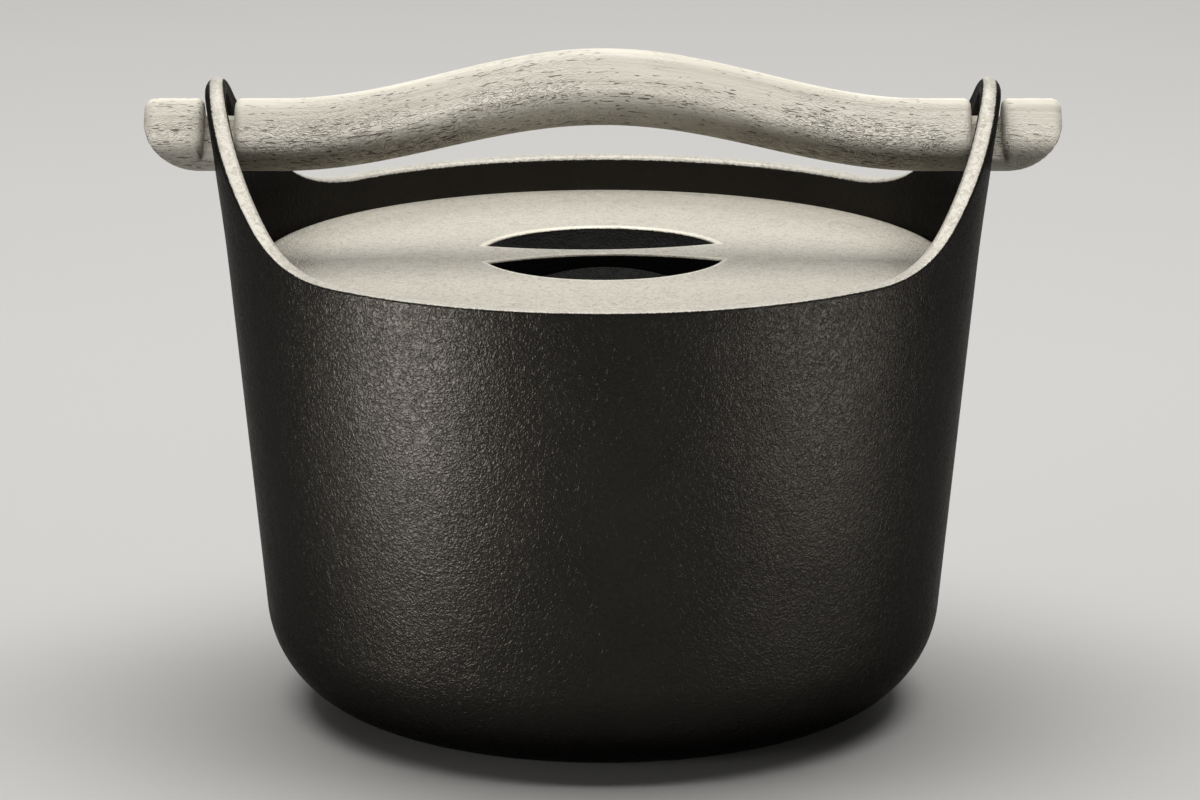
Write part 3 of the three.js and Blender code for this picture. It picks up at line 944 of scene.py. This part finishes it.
def wood_finish(name, pale, tan, dark):
    """Pale bare wood: growth layers, faint fibres, a curled figure, and short dark strokes along it."""
    finish = Finish(name)
    # The grain follows the arch, and wanders a little
    rise = finish.math("MULTIPLY", finish.attribute("shade"), ARCH_RISE * MM)
    straight = finish.vector("SUBTRACT", finish.place, finish.upwards(rise))
    wander = finish.noise((16.0, 60.0, 60.0), place=straight, output="Color")
    place = finish.vector("ADD", straight, finish.vector("MULTIPLY", wander, (0.0, 0.003, 0.003)))

    # The crest is worn smooth, and the underside gets a painted shade
    level = finish.height_of(straight)
    crest_start, crest_end = [(HANDLE_BOTTOM + rise) * MM for rise in CREST_LEVELS]
    painted_shade_start, painted_shade_end = [(HANDLE_BOTTOM + rise) * MM for rise in PAINTED_SHADE_LEVELS]
    crest = finish.band(level, crest_start, crest_end)
    painted_underside_shade = finish.band(level, painted_shade_start, painted_shade_end, 0.6, 0.0)

    layers = finish.noise((7.0, 330.0, 330.0), warp=0.2, place=place)
    fibre = finish.noise((45.0, 1700.0, 1700.0), rough=0.6, place=place)
    patch = finish.noise(45.0)

    # Strokes crowd in rows and patches, and are fewer on the crest
    rows = finish.noise((14.0, 520.0, 520.0), detail=1.0, place=place)
    strokes = finish.noise((400.0, 2800.0, 2800.0), detail=0.5, warp=0.1, place=place)
    in_rows = finish.band(rows, 0.4, 0.7, -0.04, 0.06)
    in_patches = finish.band(patch, 0.35, 0.65, -0.02, 0.03)
    crowd = finish.math("ADD", in_rows, in_patches)
    crowd = finish.math("SUBTRACT", crowd, finish.math("MULTIPLY", crest, 0.07))
    stroke_share = finish.band(finish.math("ADD", strokes, crowd), 0.64, 0.69)

    # The figure curls across the sides
    swirl = finish.noise((420.0, 800.0, 800.0), detail=1.0, warp=1.4, place=place)
    curl = finish.lines(swirl, 0.1)
    figure = finish.math("MULTIPLY", curl, finish.band(patch, 0.4, 0.6, 0.3, 1.0))
    figure = finish.math("MULTIPLY", figure, finish.band(crest, 0, 1, 1.0, 0.2))

    ground = finish.mix(finish.band(layers, 0.4, 0.7), pale, tan)
    # Painted shade: the underside turns a darker tan
    ground = finish.mix(painted_underside_shade, ground, scaled(tan, 0.75))
    ground = finish.mix(finish.band(fibre, 0.5, 0.74, 0.0, 0.4), ground, scaled(tan, 0.7))
    ground = finish.mix(finish.math("MULTIPLY", figure, 0.45), ground, scaled(tan, 0.55))
    colour = finish.mix(finish.math("MULTIPLY", stroke_share, 0.8), ground, dark)
    relief = finish.bump(figure, 0.00026, 1.0, finish.bump(layers, 0.0003, 0.5))
    height = finish.math("SUBTRACT", finish.math("MULTIPLY", fibre, 0.4), stroke_share)
    return finish.finished(
        Base_Color=colour,
        Roughness=finish.band(stroke_share, 0, 1, 0.55, 0.8),
        Normal=finish.bump(height, 0.00014, 0.8, relief),
        Specular_IOR_Level=0.35,
    )


def floor_finish():
    """A pale floor to the eye and in reflections, which throws little light back up."""
    finish = Finish("pale_floor")
    seen = finish.mix(finish.noise(3.0), *FLOOR_SEEN)
    return finish.finished(
        Base_Color=finish.mix(in_view(finish.tree), FLOOR_BOUNCE, seen),
        Roughness=0.9,
        Normal=finish.bump(finish.noise(400.0), 0.0001, 0.2),
        Specular_IOR_Level=0.1,
    )


body_iron = iron_finish(
    "body_iron",
    dark=BODY_DARK,
    pale=BODY_PALE,
    rough=(0.36, 0.5),
    metal=(0.85, 0.3),
    relief=0.00013,
    smooth=0.45,
    edge=0.1,
)
lid_iron = iron_finish(
    "lid_iron",
    dark=LID_DARK,
    pale=LID_PALE,
    rough=(0.7, 0.55),
    metal=(0.85, 0.75),
    relief=0.0002,
    smooth=1.0,
    edge=1.0,
)
handle_wood = wood_finish("handle_wood", WOOD_PALE, WOOD_TAN, WOOD_DARK)

# The pieces, each in place of its node

pot = make_pot(body_iron)
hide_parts("pot_body")
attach(pot, "pot")

lid = make_lid(lid_iron)
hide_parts("lid")
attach(lid, "lid")

handle = make_handle(handle_wood)
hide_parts("handle")
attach(handle, "handle")

# Floor, camera and light

near, far = -FLOOR_REACH, FLOOR_REACH
corners = [(near, near, 0), (far, near, 0), (far, far, 0), (near, far, 0)]
floor_mesh = bpy.data.meshes.new("floor")
floor_mesh.from_pydata(corners, [], [(0, 1, 2, 3)])
floor_mesh.materials.append(floor_finish())
floor = bpy.data.objects.new("floor", floor_mesh)
bpy.context.scene.collection.objects.link(floor)

lens = bpy.data.cameras.new("camera")
lens.sensor_width = CAMERA_SENSOR
lens.lens = CAMERA_LENS
camera = bpy.data.objects.new("camera", lens)
camera.location = CAMERA_PLACE
camera.rotation_euler = (math.radians(90 - CAMERA_DIP), 0.0, math.radians(CAMERA_TURN))
bpy.context.scene.collection.objects.link(camera)
bpy.context.scene.camera = camera


def soft_light(name, place, target, size, watts, spread=180.0):
    """A flat lamp at a place, in metres, turned to a target. The spread is in degrees."""
    lamp = bpy.data.lights.new(name, "AREA")
    lamp.shape = "RECTANGLE"
    lamp.size, lamp.size_y = size
    lamp.energy = watts
    lamp.spread = math.radians(spread)
    obj = bpy.data.objects.new(name, lamp)
    obj.location = place
    towards = np.array(target) - np.array(place)
    flat = math.hypot(towards[0], towards[1])
    obj.rotation_euler = (math.atan2(flat, -towards[2]), 0.0, math.atan2(-towards[0], towards[1]))
    obj.visible_camera = False
    bpy.context.scene.collection.objects.link(obj)


# One broad lamp above and two behind light the scene. The low ones at the sides draw the wall's sheen
soft_light("overhead", (0.0, 0.22, 1.6), (0.0, 0.22, 0.0), (2.0, 1.3), 38.0)
soft_light("behind", (0.0, 1.9, 1.4), (0.0, 0.0, 0.1), (3.0, 0.8), 8.0)
soft_light("behind_low", (0.0, 2.6, 0.65), (0.0, 0.0, 0.1), (3.0, 0.4), 10.5)
soft_light("left", (-0.265, -0.2, 0.035), (-0.03, -0.07, 0.095), (0.17, 0.065), 0.092, 60.0)
soft_light("right", (0.3, -0.15, 0.03), (0.05, -0.05, 0.1), (0.3, 0.05), 0.05, 60.0)

world = bpy.data.worlds.new("studio")
bpy.context.scene.world = world
world.use_nodes = True
strength = world.node_tree.nodes.new("ShaderNodeMapRange")
strength.inputs["To Min"].default_value = WORLD_LIGHT
strength.inputs["To Max"].default_value = WORLD_SEEN
world.node_tree.links.new(in_view(world.node_tree), strength.inputs["Value"])
background = world.node_tree.nodes["Background"]
background.inputs["Color"].default_value = (*WORLD_COLOUR, 1.0)
world.node_tree.links.new(strength.outputs["Result"], background.inputs["Strength"])

bpy.context.scene.view_settings.view_transform = "Standard"
